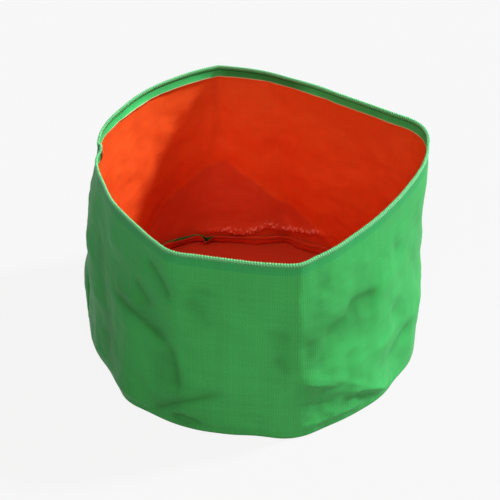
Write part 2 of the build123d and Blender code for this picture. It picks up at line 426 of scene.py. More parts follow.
# %% Where shade is painted on the cloth
# Patches of painted shade on the green, round the front fold and on the front left.
painted_shade_patches = [
    swell(288, 190, 4.4, 24, 85),
    swell(303, 168, 2.4, 60, 38),
    fold([(282.5, 106), (287, 96), (292, 86), (299, 71)], 3.2, 3, 30, soft=1),
    swell(278.5, 158, 2.4, 12, 40),
    swell(246, 9, 4.0, 15, 8),
    swell(237, 98, 1.8, 22, 45),
    swell(206, 72, 1.6, 20, 50),
]


def painted_shade(u, z):
    """Painted shade on the green, from 0 to 1: in its creases, and in a few patches."""
    sunk = sum(np.clip(-form(np.mod(u, 1), z), 0, None) for form in forms)
    patch_shade = sum(patch(u, z) for patch in painted_shade_patches)
    return np.clip(0.9 * (sunk / (4.5 * MM)) ** 1.6 + patch_shade / (7 * MM), 0, 1)


def beside_base(u, z):
    """Painted shade: 1 where the back wall leans in below its fold lines, fading out at them."""
    places = [strip_at(angle, height * MM) for angle, height in BACK_KNEE]
    line = np.interp(np.mod(u, 1), places, [height * MM for _, height in BACK_KNEE])
    return 0.8 * np.clip((line - z) / (7 * MM), 0, 1)


# %% The relief, all forms together
def relief(u, z):
    """How far the cloth stands out from the straight wall; it is held at the foot and the mouth."""
    u = np.mod(u, 1)
    held = np.clip(z / (16 * MM), 0, 1)
    free = np.clip(np.minimum(z / (30 * MM), (TOP - z) / (70 * MM)), 0, 1)
    low = np.exp(-z / (14 * MM)) * np.clip(z / (3 * MM), 0, 1)
    total = sum(form(u, z) for form in forms) + seam_curl(u, z)
    loose = free * (BROAD_RIPPLES(u, z) + HAND_RIPPLES(u, z) + FINE_RIPPLES(u, z))
    return total * held + loose + low * PUCKERS(u, z * 0)


# %% Faces of the wall
def outer_face(u, z):
    """Where the outer face of the wall stands."""
    step = 0.0035
    along = straight_wall(u + step, z) - straight_wall(u - step, z)
    outward = np.stack([along[..., 1], -along[..., 0]], -1)
    outward /= np.linalg.norm(outward, axis=-1)[..., None]
    level = straight_wall(u, z) + outward * relief(u, z)[..., None]
    return np.concatenate([level, z[..., None]], -1)


def on_wall(u, z, depth):
    """A place at a depth in from the outer face, in metres."""
    u, z, depth = np.broadcast_arrays(np.asarray(u, float), z, depth)
    step_u, step_z = 0.0006, 1.0 * MM
    around = outer_face(u + step_u, z) - outer_face(u - step_u, z)
    upwards = outer_face(u, z + step_z) - outer_face(u, z - step_z)
    normal = np.cross(around, upwards)
    normal /= np.linalg.norm(normal, axis=-1)[..., None]
    return outer_face(u, z) - normal * depth[..., None]


probe = on_wall(np.linspace(0, 1, 9)[:-1], np.full(8, TOP / 2), 0)
print("half way up, the wall stands", (np.hypot(probe[:, 0], probe[:, 1]) * 1000).round(0), "mm out")

# %% [markdown]
# ## Cloth from a grid
# A cloth layer starts as a flat grid and every point of it is moved to its place. The grid lines stand
# closer where the cloth turns sharply, because a fold needs more points than a flat stretch. The UV map
# keeps each point's place on the flat cloth in metres, so that the weave has one scale everywhere.
# Solidify then gives the layer its thickness, and closes it at the cut edges.


# %% Grid helpers
def spread(count, places, weights, width):
    """Numbers from 0 to 1 that crowd together near some places."""
    fine = np.linspace(0, 1, 4001)
    density = 1 + sum(w * np.exp(-(((fine - p) / width) ** 2)) for p, w in zip(places, weights))
    way = np.concatenate([[0], np.cumsum((density[1:] + density[:-1]) / 2)])
    return np.interp(np.linspace(0, way[-1], count), way, fine)


def built(name, bm):
    """The mesh that a bmesh has built."""
    mesh = bpy.data.meshes.new(name)
    bm.to_mesh(mesh)
    bm.free()
    return mesh


def point_of_corner(mesh):
    """Which point each corner of the faces stands on."""
    corners = np.empty(len(mesh.loops), int)
    mesh.loops.foreach_get("vertex_index", corners)
    return corners


def finish_piece(name, mesh, flat=None):
    """Link a mesh as a smooth piece; the UV map keeps the points' places on the flat cloth."""
    if flat is not None:
        lying = flat[point_of_corner(mesh)]
        mesh.uv_layers.new(name="cloth").data.foreach_set("uv", lying.ravel())
    mesh.shade_smooth()
    return new_object(name, mesh)


# %% Sheets
def cloth(name, columns, rows, place, flat):
    """A sheet: its grid point (column, row) stands at place(column, row) and lies at flat(...)."""
    bm = bmesh.new()
    bmesh.ops.create_grid(bm, x_segments=len(columns) - 1, y_segments=len(rows) - 1, size=1)
    mesh = built(name, bm)
    grid = np.empty(len(mesh.vertices) * 3)
    mesh.vertices.foreach_get("co", grid)
    grid = grid.reshape(-1, 3)
    i = np.rint((grid[:, 0] + 1) / 2 * (len(columns) - 1)).astype(int)
    j = np.rint((grid[:, 1] + 1) / 2 * (len(rows) - 1)).astype(int)
    mesh.vertices.foreach_set("co", place(columns[i], rows[j]).ravel())
    return finish_piece(name, mesh, np.stack(flat(columns[i], rows[j]), -1))


def thicken(piece, thickness, offset=-1, back_slot=0, rim_slot=0):
    """Give a sheet its thickness, behind its faces (offset -1) or half to each side (offset 0)."""
    solid = piece.modifiers.new("thickness", "SOLIDIFY")
    solid.thickness = thickness
    solid.offset = offset
    solid.material_offset = back_slot
    solid.material_offset_rim = rim_slot
    return piece


COLUMNS = spread(430, [0, FRONT_FOLD + 0.01, 1], [1.5, 0.9, 1.5], 0.05)
ROWS = spread(100, [0.12], [1.5], 0.22) * TOP
print(f"{len(COLUMNS)} columns, {len(ROWS)} rows")

# %% [markdown]
# ## Finishes, written as expressions
# A material is a tree of nodes. Placing each node by hand hides the idea, so a small class wraps a
# socket and lets Python's own operators add the Math nodes: `1 - mask` becomes one. Every other node
# comes from one method.


# %% Wires, for sums on sockets
def operator(operation, swapped=False):
    """A method that adds one Math node."""

    def method(self, *others):
        values = (*others, self) if swapped else (self, *others)
        inputs = dict(enumerate(values))
        return self.finish.node("ShaderNodeMath", {"operation": operation}, inputs)

    return method


class Wire:
    """An output socket that can be used in a sum."""

    def __init__(self, finish, socket):
        self.finish = finish
        self.socket = socket

    def output(self, name):
        """Another output of the same node."""
        return Wire(self.finish, self.socket.node.outputs[name])

    __add__ = __radd__ = operator("ADD")
    __sub__ = operator("SUBTRACT")
    __rsub__ = operator("SUBTRACT", swapped=True)
    __mul__ = __rmul__ = operator("MULTIPLY")
    __truediv__ = operator("DIVIDE")
    __pow__ = operator("POWER")
    floor = operator("FLOOR")
    fract = operator("FRACT")
    size = operator("ABSOLUTE")
    cosine = operator("COSINE")

    def between(self, low, high):
        """0 below low, 1 above high, and a soft step from one to the other."""
        settings = {"interpolation_type": "SMOOTHSTEP"}
        return self.finish.node("ShaderNodeMapRange", settings, {0: self, 1: low, 2: high})


# %% Finishes
class Finish:
    """One material and its node tree."""

    def __init__(self, name, **constants):
        self.material = bpy.data.materials.new(name)
        self.material.use_nodes = True
        self.tree = self.material.node_tree
        self.shader = self.tree.nodes["Principled BSDF"]
        for socket, value in constants.items():
            self.shader.inputs[socket.replace("_", " ")].default_value = value

    def node(self, kind, settings=None, inputs=None, output=0):
        """Any node, from its type, its settings and the values or links of its inputs."""
        new = self.tree.nodes.new(kind)
        for key, value in (settings or {}).items():
            setattr(new, key, value)
        for key, value in (inputs or {}).items():
            if isinstance(value, Wire):
                self.tree.links.new(value.socket, new.inputs[key])
            else:
                new.inputs[key].default_value = value
        return Wire(self, new.outputs[output])

    def feed(self, **wires):
        """Link wires to the shader's sockets."""
        for socket, wire in wires.items():
            self.tree.links.new(wire.socket, self.shader.inputs[socket.replace("_", " ")])

    def mix(self, factor, first, second):
        """A colour between two colours."""
        inputs = {0: factor, 6: first, 7: second}
        return self.node("ShaderNodeMix", {"data_type": "RGBA"}, inputs, output=2)

    def noise(self, scale, detail=2.0):
        place = self.node("ShaderNodeTexCoord").output("Object")
        return self.node("ShaderNodeTexNoise", {}, {"Vector": place, "Scale": scale, "Detail": detail})

    def marked(self, name):
        """A number that the points of the piece carry."""
        return self.node("ShaderNodeAttribute", {"attribute_name": name}, output="Fac")

    def bump(self, height, distance):
        inputs = {"Strength": 1.0, "Distance": distance, "Height": height}
        return self.node("ShaderNodeBump", {}, inputs)


# %% [markdown]
# ### The woven tapes
# The cloth is a plain weave of flat plastic tapes, three millimetres wide. The UV map holds places on
# the flat cloth, so in tape widths the whole part of a coordinate numbers the tape, and the rest is the
# place across it. Where the two numbers add up to an odd one, the upright tape lies on top, otherwise
# the level one. Each tape has a tone of its own, is crowned across its width, and dips where it goes
# under the next one.

# %% Weave pattern
TAPE = 3.0 * MM


def tapes(finish):
    """The weave at a point: its height and its tape's tone, both 0 to 1, and its place up the strip."""
    place = finish.node("ShaderNodeUVMap", {"uv_map": "cloth"})
    parts = finish.node("ShaderNodeSeparateXYZ", {}, {0: place})
    along, up = parts.output("X"), parts.output("Y")
    across, level = along / TAPE, up / TAPE
    column, row = across.floor(), level.floor()
    side = across.fract() - 0.5
    rung = level.fract() - 0.5
    upright = ((column + row) * 0.5).fract() * 2
    crown_upright = (1 - (side * 2).size() ** 4) * (0.6 + 0.4 * (rung * math.pi).cosine())
    crown_level = (1 - (rung * 2).size() ** 4) * (0.6 + 0.4 * (side * math.pi).cosine())
    height = upright * crown_upright + (1 - upright) * crown_level
    tone_column = finish.node("ShaderNodeTexWhiteNoise", {"noise_dimensions": "1D"}, {"W": column})
    tone_row = finish.node("ShaderNodeTexWhiteNoise", {"noise_dimensions": "1D"}, {"W": row + 0.5})
    tone = upright * tone_column + (1 - upright) * tone_row
    return height, tone, up


# %% [markdown]
# ### Green weave, orange coating, thread and cut edge
# The green side is satin cloth. It has painted shade along the hem, where less light comes through the
# three layers there, painted shade in its creases and a few patches, and a painted sheen where the hem
# turns it to the inside. Painted shade makes a dark line under the overlock on both sides, and a pale
# line runs along the hem's cut edge. The orange side is a film melted on to the weave: it is glossier,
# shows the tapes only faintly, is crumpled where it was creased, with painted glints there, and has
# painted shade low down. The threads are pale mint, the base seam's dark, and the cut edges show the
# tapes' pale core. A pair of colours goes from dark tapes to light, with painted shade where they dip.

# %% Green weave
OUTSIDE_GREEN = (0.030, 0.262, 0.054, 1), (0.056, 0.485, 0.128, 1)
HEM_SHADE_GREEN = (0.021, 0.240, 0.060, 1), (0.042, 0.435, 0.128, 1)
INSIDE_SHEEN_GREEN = (0.038, 0.440, 0.100, 1), (0.074, 0.740, 0.215, 1)
PAINTED_SHADE_GREEN = (0.021, 0.118, 0.024, 1)
GROOVE_SHADE_GREEN = (0.006, 0.055, 0.016, 1)
PALE_CUT = (0.80, 0.70, 0.42, 1)
HEM_TURN = 3 * MM
CUT_LINE = TOP + HEM_TURN + 15.8 * MM
green = Finish("green_weave", Specular_IOR_Level=0.05)
height, tone, up = tapes(green)
cloud = green.noise(9.0, 3.0)
# Tone of each tape and of the cloth, and painted shade where the tapes dip.
tone_and_shade = tone * 0.18 + cloud * 0.36 + height * 0.50


def off_line(gap):
    """0 on a line across the strip, 1 from a little over a millimetre beside it."""
    return (gap / MM).size().between(0.5, 1.2)


outside = green.mix(tone_and_shade, *OUTSIDE_GREEN)
# Painted shade: along the hem less light shines through the cloth, where three layers lie behind it.
hem_band_shade = up.between(HEM_LINE - 0.6 * MM, HEM_LINE + 0.6 * MM) - up.between(TOP, TOP + MM)
hem = green.mix(tone_and_shade, *HEM_SHADE_GREEN)
# Painted shade: a dark line under the overlock on each side, where the stitches pull the cloth in.
groove = 2 - off_line(up - OVERLOCK_LINE + 0.8 * MM) - off_line(up - TOP - HEM_TURN - 4.8 * MM)
cut = up.between(CUT_LINE, CUT_LINE + 0.3 * MM)
# Painted sheen: the hem's inner face is made brighter.
turned_with_sheen = green.mix(up.between(TOP, TOP + MM), outside, green.mix(tone_and_shade, *INSIDE_SHEEN_GREEN))
# Painted shade: the green is darkened in its creases and in a few patches, by numbers on its points.
with_painted_shade = green.mix(green.marked("painted_shade") * 0.58, turned_with_sheen, PAINTED_SHADE_GREEN)
with_hem_band_shade = green.mix(hem_band_shade, with_painted_shade, hem)
with_groove_shade = green.mix(groove * 0.66, with_hem_band_shade, GROOVE_SHADE_GREEN)
green.feed(Base_Color=green.mix(cut * 0.9, with_groove_shade, PALE_CUT))
green.feed(Roughness=0.52 - height * 0.10 + (cloud - 0.5) * 0.1)
green.feed(Normal=green.bump(height, 0.28 * MM))
print("green weave:", len(green.tree.nodes), "nodes")

# %% Orange coating
FILM_ORANGE = (0.790, 0.078, 0.013, 1), (0.870, 0.130, 0.020, 1)
PAINTED_DARK_ORANGE = (0.560, 0.048, 0.022, 1)
PAINTED_GLINT_ORANGE = (0.95, 0.36, 0.30, 1)
orange = Finish("orange_coating", Specular_IOR_Level=0.3, Coat_Roughness=0.14)
height, tone, _ = tapes(orange)
cloud = orange.noise(14.0, 4.0)
crumple = orange.marked("crumple")
# Tone of each tape and of the film, and a little painted shade where the tapes dip.
tone_and_shade = tone * 0.22 + cloud * 0.6 + height * 0.12
# Painted shade: the orange is darker low in the bag, on the base, the seam's flaps and below the back's
# fold lines.
with_painted_dark = orange.mix(orange.marked("painted_dark") * 0.75, orange.mix(tone_and_shade, *FILM_ORANGE), PAINTED_DARK_ORANGE)
wrinkle = orange.noise(230.0, 3.0)
# Painted glints: pale specks on the crumpled film stand in for the light it catches.
painted_glints = (crumple * 1.8 - 0.8) * wrinkle.between(0.48, 0.60)
orange.feed(Base_Color=orange.mix(painted_glints * 0.8, with_painted_dark, PAINTED_GLINT_ORANGE))
orange.feed(Roughness=0.46 - crumple * 0.35 + (cloud - 0.5) * 0.12)
film = height * 0.25 + wrinkle * (crumple * 14.0 + 0.5)
orange.feed(Normal=orange.bump(film, 0.10 * MM))
orange.feed(Coat_Weight=0.05 + crumple * 0.40)
print("orange coating:", len(orange.tree.nodes), "nodes")

# %% Thread and cut edge
MINT = (0.100, 0.540, 0.215, 1), (0.320, 0.900, 0.480, 1)
DARK_GREEN = (0.020, 0.070, 0.028, 1)
PALE_CORE = (0.45, 0.42, 0.22, 1), (0.80, 0.76, 0.55, 1)
thread = Finish("thread", Roughness=0.5)
fibre = thread.noise(1500.0)
thread.feed(Base_Color=thread.mix(fibre, *MINT))
thread.feed(Normal=thread.bump(fibre, 0.15 * MM))

dark_thread = Finish("dark_thread", Base_Color=DARK_GREEN, Roughness=0.6)

edge = Finish("cut_edge", Roughness=0.7)
fray = edge.noise(700.0)
edge.feed(Base_Color=edge.mix(fray, *PALE_CORE))
edge.feed(Normal=edge.bump(fray, 0.2 * MM))


def dress(piece, *finishes):
    """Give a piece its finishes: the face's, the back's and the rim's."""
    for finish in finishes:
        piece.data.materials.append(finish.material)


# %% [markdown]
# ## The wall
# The wall is one sheet of two layers. Modelling the weave and its coating as two thin solids keeps each
# colour on its own piece. Both follow the same function at their own depth, so neither pokes through.
# The points of a sheet can carry numbers of their own: here they give the painted shade in the green's
# creases and in a few patches, where the orange film is crumpled, and the painted shade on it low down.


# %% Wall
def wall_layer(name, depth, thickness, top):
    """One layer of the wall, at a depth in from the outer face."""

    def place(u, row):
        return on_wall(u, WEAVE + row * (top - WEAVE) / TOP, depth)

    piece = cloth(name, COLUMNS, ROWS, place, lambda u, row: (u * STRIP, row))
    return thicken(piece, thickness)


def mark(piece, name, field):
    """Keep a field of the strip's (u, z), as numbers from 0 to 1 on the points of a sheet."""
    mesh = piece.data
    lying = np.empty(len(mesh.loops) * 2)
    mesh.uv_layers["cloth"].data.foreach_get("uv", lying)
    place = np.zeros((len(mesh.vertices), 2))
    place[point_of_corner(mesh)] = lying.reshape(-1, 2)
    values = np.clip(field(place[:, 0] / STRIP, place[:, 1]), 0, 1).astype(np.float32)
    mesh.attributes.new(name, "FLOAT", "POINT").data.foreach_set("value", values)


# %% Wall pieces
wall_fabric = wall_layer("wall_fabric_cloth", 0, WEAVE, TOP)
dress(wall_fabric, green)
# Painted shade on the green: its creases and a few patches are darkened.
mark(wall_fabric, "painted_shade", painted_shade)
wall_lining = wall_layer("wall_lining_coating", WEAVE, COATING, TOP - COATING)
dress(wall_lining, orange)
CRUMPLED_THROUGH = 2.9 * MM
# The crumple numbers also place the painted glints on the orange.
mark(wall_lining, "crumple", lambda u, z: np.abs(crumpled(u, z)) / CRUMPLED_THROUGH)
# Painted shade on the orange below the back's fold lines.
mark(wall_lining, "painted_dark", beside_base)
print("wall:", len(wall_fabric.data.polygons), "faces a layer before it gets its thickness")

# %% [markdown]
# ## The hem
# At the mouth the sheet is folded over and laid down inside, green side out. Its section is a hook:
# over the top edge, then down. The lower edge is free and lifts a little off the wall, unevenly, and
# its cut edge shows as a pale line. Right of the back's corner the hem is a little narrower, and shade
# is painted on it there and beside the side seam. Places along it are shares of the strip.

# %% Hem
HEM_FACE = 2 * SHEET + 0.2 * MM
FREE_EDGE = 11 * MM
HOOK_MIDDLE = 0.8 * MM
NARROW_AT, NARROW_WIDTH = 0.745, 0.06
# Where shade is painted on the hem's inner face, and how wide.
HEM_SHADE_AT, HEM_SHADE_WIDTH = 0.757, 0.043
SEAM_SHADE_WIDTH = 0.011
hem_waves = ripples(21, 14, 30, 140, 0.5)


def hem_place(inset):
    """Points of a hem layer that lies `inset` metres in from the green face."""
    depths = np.array([0.0, 0.1, 0.45, 0.8, 1.15, 1.5, 1.6, 1.6, 1.6, 1.6, 1.6, 1.6, 1.6]) * MM
    heights = [TOP - 0.5 * MM, TOP, TOP + 0.33 * MM, TOP + 0.4 * MM, TOP + 0.33 * MM, TOP, TOP - MM]
    heights = np.array(heights + list(np.linspace(TOP - 4 * MM, HEM_LINE, 6)))
    way = np.linspace(0, 1, len(depths))

    def place(u, row):
        height = np.interp(row, way, heights)
        depth = np.interp(row, way, depths)
        drop = np.clip((HEM_LINE + FREE_EDGE - height) / FREE_EDGE, 0, 1) ** 2
        height = height + drop * 2.8 * MM * np.exp(-(((u - NARROW_AT) / NARROW_WIDTH) ** 2))
        lift = drop * (0.7 * MM + np.abs(hem_waves(u, height * 0)) * 1.4)
        hook = HOOK_MIDDLE + (depth - HOOK_MIDDLE) * (1 - inset / HOOK_MIDDLE)
        depth = np.where(row < 0.5, hook, depth - inset)
        return on_wall(u, height - np.where(row < 0.5, inset, 0), depth + lift)

    return place


hem_rows = np.linspace(0, 1, 27)


def hem_flat(u, row):
    """The hem goes on up the flat strip from the top edge."""
    return u * STRIP, TOP + np.interp(row, [0, 0.5, 1], [0, HEM_TURN, HEM_TURN + TOP - HEM_LINE])


rim_hem_fabric = cloth("rim_hem_fabric_cloth", COLUMNS, hem_rows, hem_place(0), hem_flat)
thicken(rim_hem_fabric, WEAVE, rim_slot=1)
dress(rim_hem_fabric, green, edge)


def hem_painted_shade(u, z):
    """Painted shade on the hem's inner face; it is the same at every height."""
    painted_dark = 1.6 * np.exp(-(((u - HEM_SHADE_AT) / HEM_SHADE_WIDTH) ** 4))
    return painted_dark + 1.7 * np.exp(-((u / SEAM_SHADE_WIDTH) ** 2))


# Painted shade on the hem's inner face, through the same dark green as the wall's painted shade.
mark(rim_hem_fabric, "painted_shade", hem_painted_shade)
rim_hem_lining = cloth("rim_hem_lining_coating", COLUMNS, hem_rows, hem_place(WEAVE), hem_flat)
thicken(rim_hem_lining, COATING, rim_slot=1)
dress(rim_hem_lining, orange, edge)
print("hem:", len(rim_hem_fabric.data.polygons), "faces a layer")

# %% [markdown]
# ## Threads
# A thread is a poly curve through points on the cloth, with a round bevel, turned into a mesh at once.
# One helper makes the thread, and a second repeats the few points of one stitch along the mouth.


# %% Thread helper
def sewn(name, points, radius, finish=thread):
    """A round thread through points, as a mesh."""
    curve = bpy.data.curves.new(name, "CURVE")
    curve.dimensions = "3D"
    curve.bevel_depth = radius
    curve.bevel_resolution = 1
    spline = curve.splines.new("POLY")
    spline.points.add(len(points) - 1)
    spline.points.foreach_set("co", np.column_stack([points, np.ones(len(points))]).ravel())
    piece = finish_piece(name, curve_mesh(curve))
    dress(piece, finish)
    return piece


def stitches(pattern, count, wobble, seed):
    """Repeat one stitch's (share of the pitch, height, depth) points, in mm, with a little wobble."""
    draw = np.random.default_rng(seed)
    pattern = np.array(pattern)
    start = np.repeat(np.arange(count), len(pattern))
    share = np.tile(pattern[:, 0], count)
    height = np.tile(pattern[:, 1], count) * MM + draw.normal(0, wobble * MM, count * len(pattern))
    depth = np.tile(pattern[:, 2], count) * MM + draw.normal(0, wobble * MM * 0.3, len(share))
    return (start + share) / count, height, depth


# %% [markdown]
# ### The overlock
# An overlock is made by three threads. One looper's thread lies over the outside as slanted strands,
# the other's over the inside, they lock into each other along the edge, and the needle's thread is a
# row of short stitches just under them.

# %% Overlock
OVERLOCK_STITCHES = 390
EDGE = TOP * 1000
ROW = OVERLOCK_LINE * 1000
OUTSIDE_STRAND = [
    (0.00, ROW + 0.2, -0.40), (0.28, ROW + 1.6, -0.85), (0.58, EDGE - 0.4, -0.70),
    (0.72, EDGE + 0.75, 0.15), (0.82, EDGE + 0.95, 0.95), (0.90, EDGE + 0.70, 0.10),
    (0.94, EDGE - 0.8, -0.45), (0.97, ROW + 1.4, -0.45),
]
INSIDE_STRAND = [
    (0.00, ROW + 0.2, 2.00), (0.28, ROW + 1.6, 2.45), (0.58, EDGE - 0.4, 2.30),
    (0.72, EDGE + 0.70, 1.50), (0.82, EDGE + 0.85, 0.75), (0.90, EDGE + 0.65, 1.50),
    (0.94, EDGE - 0.8, 2.05), (0.97, ROW + 1.4, 2.05),
]
NEEDLE_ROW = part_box("rim_overlock_needle_thread")[0].z * 1000 + 0.25
NEEDLE_DIPS = [(0.05, 0.25), (0.2, -0.2), (0.8, -0.2), (0.95, 0.25)]
NEEDLE_STITCH = [(share, NEEDLE_ROW, depth) for share, depth in NEEDLE_DIPS]
LOOPER_RADIUS = 0.52 * MM


def rim_thread(name, pattern, seed, radius, wobble=0.12):
    """A row of overlock stitches all round the mouth."""
    return sewn(name, on_wall(*stitches(pattern, OVERLOCK_STITCHES, wobble, seed)), radius)


upper_looper = rim_thread("rim_overlock_outside_strands", OUTSIDE_STRAND, 31, LOOPER_RADIUS)
lower_looper = rim_thread("rim_overlock_inside_strands", INSIDE_STRAND, 32, LOOPER_RADIUS)
needle_thread = rim_thread("rim_overlock_needle_row", NEEDLE_STITCH, 33, 0.22 * MM, 0.02)
print("overlock:", OVERLOCK_STITCHES, "stitches,", len(upper_looper.data.polygons), "faces outside")

# %% [markdown]
# ## The side seam
# The strip's two ends are sewn green to green and turned inwards as two short flaps, which lean to the
# front. A flap is a narrow grid whose columns run out from the wall, with an orange face and a green
# one. Two rows of thread run down it.

# %% Side seam
SIDE_FLAP = 11 * MM
SIDE_BOTTOM = SEAM_TOP + MM
SIDE_TOP = OVERLOCK_LINE - MM
SIDE_STITCHES = 64
SIDE_ROW_OUT = 7 * MM
SEAM_THREAD_RADIUS = 0.25 * MM
side_rows = np.linspace(SIDE_BOTTOM, SIDE_TOP, 90)
side_waves = ripples(41, 10, 60, 160, 1.0)
INWARD = -np.array([math.cos(SEAM_ANGLE), math.sin(SEAM_ANGLE), 0])
FORWARD = np.array([INWARD[1], -INWARD[0], 0])


def side_flap_place(offset):
    """Points of a flap: out from the wall by `out`, and beside its twin by `offset` metres."""

    def place(out, z):
        face = np.where(z > HEM_LINE - 2 * MM, HEM_FACE, SHEET) + 1.2 * MM
        root = outer_face(z * 0, z) + INWARD * face[..., None]
        wave = side_waves(z * 0 + 0.1, z) / MM
        near_mouth = np.clip((z - 262 * MM) / (24 * MM), 0, 1)
        lean = np.radians(86 - 18 * near_mouth + 2 * wave)[..., None]
        lean = lean + (14 * near_mouth * out)[..., None]
        run = INWARD * np.cos(lean) + FORWARD * np.sin(lean)
        beside = INWARD * -np.sin(lean) + FORWARD * np.cos(lean)
        return root + run * out[..., None] + beside * offset

    return place


def side_flap(name, offset):
    """One of the two flaps."""
    outs = np.linspace(0, SIDE_FLAP, 9)
    piece = cloth(name, outs, side_rows, side_flap_place(offset), lambda out, z: (out, z))
    thicken(piece, SHEET, 0, back_slot=1, rim_slot=2)
    dress(piece, orange, green, orange)
    return piece


side_front = side_flap("side_seam_front_flap", 0.8 * MM)
side_back = side_flap("side_seam_back_flap", -0.1 * MM)


# %% Stitches down the side seam
def side_stitch_row(name, offset):
    """A row of stitches on one side of the flaps, dipping towards the other at each end."""
    z = np.linspace(SIDE_BOTTOM, SIDE_TOP, SIDE_STITCHES * 4)
    dip = np.tile([0.5, 0, 0, 0.5], SIDE_STITCHES) * MM
    out = np.full(z.shape, SIDE_ROW_OUT)
    near = side_flap_place(offset)(out, z)
    far = side_flap_place(0)(out, z)
    share = (dip / abs(offset))[:, None]
    return sewn(name, near + (far - near) * share, SEAM_THREAD_RADIUS)


side_needle = side_stitch_row("side_seam_needle_row", 1.5 * MM)
side_bobbin = side_stitch_row("side_seam_bobbin_row", -0.8 * MM)
print("side seam:", SIDE_STITCHES, "stitches down", round((SIDE_TOP - SIDE_BOTTOM) * 1000), "mm")

# %% [markdown]
# ## The base
# The base is a round of the same sheet. A line of points spun about the middle makes the round, and a
# few seeded waves and creases keep it from lying dead flat, as the bag stands empty. Each crease has a
# start, an end and a height in mm.

# %% Base
BASE_RINGS = 64
BASE_STEPS = 288
BASE_WAVES = 12
base_draw = np.random.default_rng(51)
base_turns = base_draw.uniform(0, 2 * np.pi, BASE_WAVES)
base_lengths = base_draw.uniform(70, 220, BASE_WAVES) * MM
base_starts = base_draw.uniform(0, 2 * np.pi, BASE_WAVES)
BASE_CREASES = [
    ((-0.079, 0.195), (-0.062, 0.165), 1.6), ((-0.062, 0.165), (-0.030, 0.105), 1.2),
    ((-0.118, 0.160), (-0.085, 0.130), 1.2), ((0.02, 0.195), (0.10, 0.12), 0.9),
    ((0.05, -0.17), (-0.12, 0.03), 1.4), ((-0.15, -0.05), (0.08, -0.02), 1.1),
]


def base_relief(x, y, share):
    """Height of the base's waves and creases over the floor, in metres."""
    waves = sum(
        np.cos(2 * np.pi * (x * np.cos(t) + y * np.sin(t)) / length + s)
        for t, length, s in zip(base_turns, base_lengths, base_starts)
    )
    total = 0.9 * MM + 0.30 * MM * waves
    for start, end, depth in BASE_CREASES:
        run = np.subtract(end, start)
        way = np.clip(((x - start[0]) * run[0] + (y - start[1]) * run[1]) / (run @ run), 0, 1)
        gap = np.hypot(x - start[0] - way * run[0], y - start[1] - way * run[1])
        ends = np.minimum(1, 5 * np.minimum(way, 1 - way))
        total = total + depth * MM * np.exp(-gap / (9 * MM)) * ends
    return np.clip(total, 0, None) * np.clip((1 - share) / 0.07, 0, 1)


# %% Base round
def base_round(name, level, edge_inset):
    """A layer of the base, whose upper face lies at a level."""
    bm = bmesh.new()
    spokes = [bm.verts.new((ring / BASE_RINGS, 0, 0)) for ring in range(BASE_RINGS + 1)]
    lines = [bm.edges.new(pair) for pair in zip(spokes, spokes[1:])]
    bmesh.ops.spin(
        bm, geom=spokes + lines, cent=(0, 0, 0), axis=(0, 0, 1), angle=2 * math.pi,
        steps=BASE_STEPS, use_merge=True,
    )
    bmesh.ops.remove_doubles(bm, verts=bm.verts, dist=1e-5)
    bmesh.ops.recalc_face_normals(bm, faces=bm.faces)
    if sum(face.normal.z for face in bm.faces) < 0:
        bmesh.ops.reverse_faces(bm, faces=bm.faces)
    mesh = built(name, bm)
    unit = np.array([vertex.co[:] for vertex in mesh.vertices])
    share = np.hypot(unit[:, 0], unit[:, 1])
    turn = (np.arctan2(unit[:, 1], unit[:, 0]) - SEAM_ANGLE) / (2 * np.pi)
    rim = foot_at(turn)
    rim *= 1 - edge_inset / np.linalg.norm(rim, axis=-1)[..., None]
    flat = rim * share[:, None]
    lift = base_relief(flat[:, 0], flat[:, 1], share)
    mesh.vertices.foreach_set("co", np.column_stack([flat, level + lift]).ravel())
    return finish_piece(name, mesh, flat)


base_fabric = thicken(base_round("base_fabric_round", WEAVE, 0), WEAVE)
dress(base_fabric, green)
base_lining = thicken(base_round("base_lining_round", SHEET, SHEET), COATING)
dress(base_lining, orange)
# Painted shade: the whole base's orange is darkened.
mark(base_lining, "painted_dark", lambda u, z: np.ones(len(u)))
print("base:", len(base_lining.data.polygons), "faces a layer")

# %% [markdown]
# ## The base seam
# Inside, the edges of the wall and the base are turned up and sewn together, green to green. Round
# seams never lie flat: the two flaps wave, spread apart in places so that the green shows, and have a
# slightly ragged edge. Here each flap is a strip that leans by its own angle along the way.

# %% Base seam
BASE_FLAP = 15 * MM
BASE_PLY_INSET = 3 * SHEET + 0.1 * MM
BASE_STITCHES = 290
ROW_UP_FLAP = 0.62
flap_columns = spread(560, [0.80], [3.0], 0.05)
flap_rows = np.linspace(1, 0, 9)
flap_waves = ripples(61, 16, 26, 90, 1.0)
flap_ragged = ripples(62, 20, 9, 40, 0.40)


def near_angle(u, angle, width):
    """A soft bump from 0 to 1 about an angle of the foot, both in degrees."""
    turn = np.degrees(SEAM_ANGLE) + 360 * u - angle
    turn = np.mod(turn + 180, 360) - 180
    return np.exp(-((turn / width) ** 2))


def flap_place(inset, spread_out):
    """Points of a flap that starts `inset` metres in from the wall and leans in by its own angle."""

    def place(u, row):
        wave = flap_waves(u, u * 0) / MM
        length = row * (BASE_FLAP + flap_ragged(u, u * 0))
        lean = np.radians(np.maximum(12 + 3 * wave + spread_out(u), 3))
        return on_wall(u, SHEET + length * np.cos(lean), length * np.sin(lean) + inset)

    return place


def both_spread(u):
    """How much further both flaps lean in, in degrees, along the way."""
    return 15 * near_angle(u, 77.5, 3) + 13 * near_angle(u, 101, 5)


def wall_flap_spread(u):
    return both_spread(u) + 20 * near_angle(u, 107.6, 1.8) + 6 * near_angle(u, 116, 7)


def base_flap_spread(u):
    return both_spread(u) + 50 * near_angle(u, 107.6, 1.8) + 22 * near_angle(u, 117, 8)


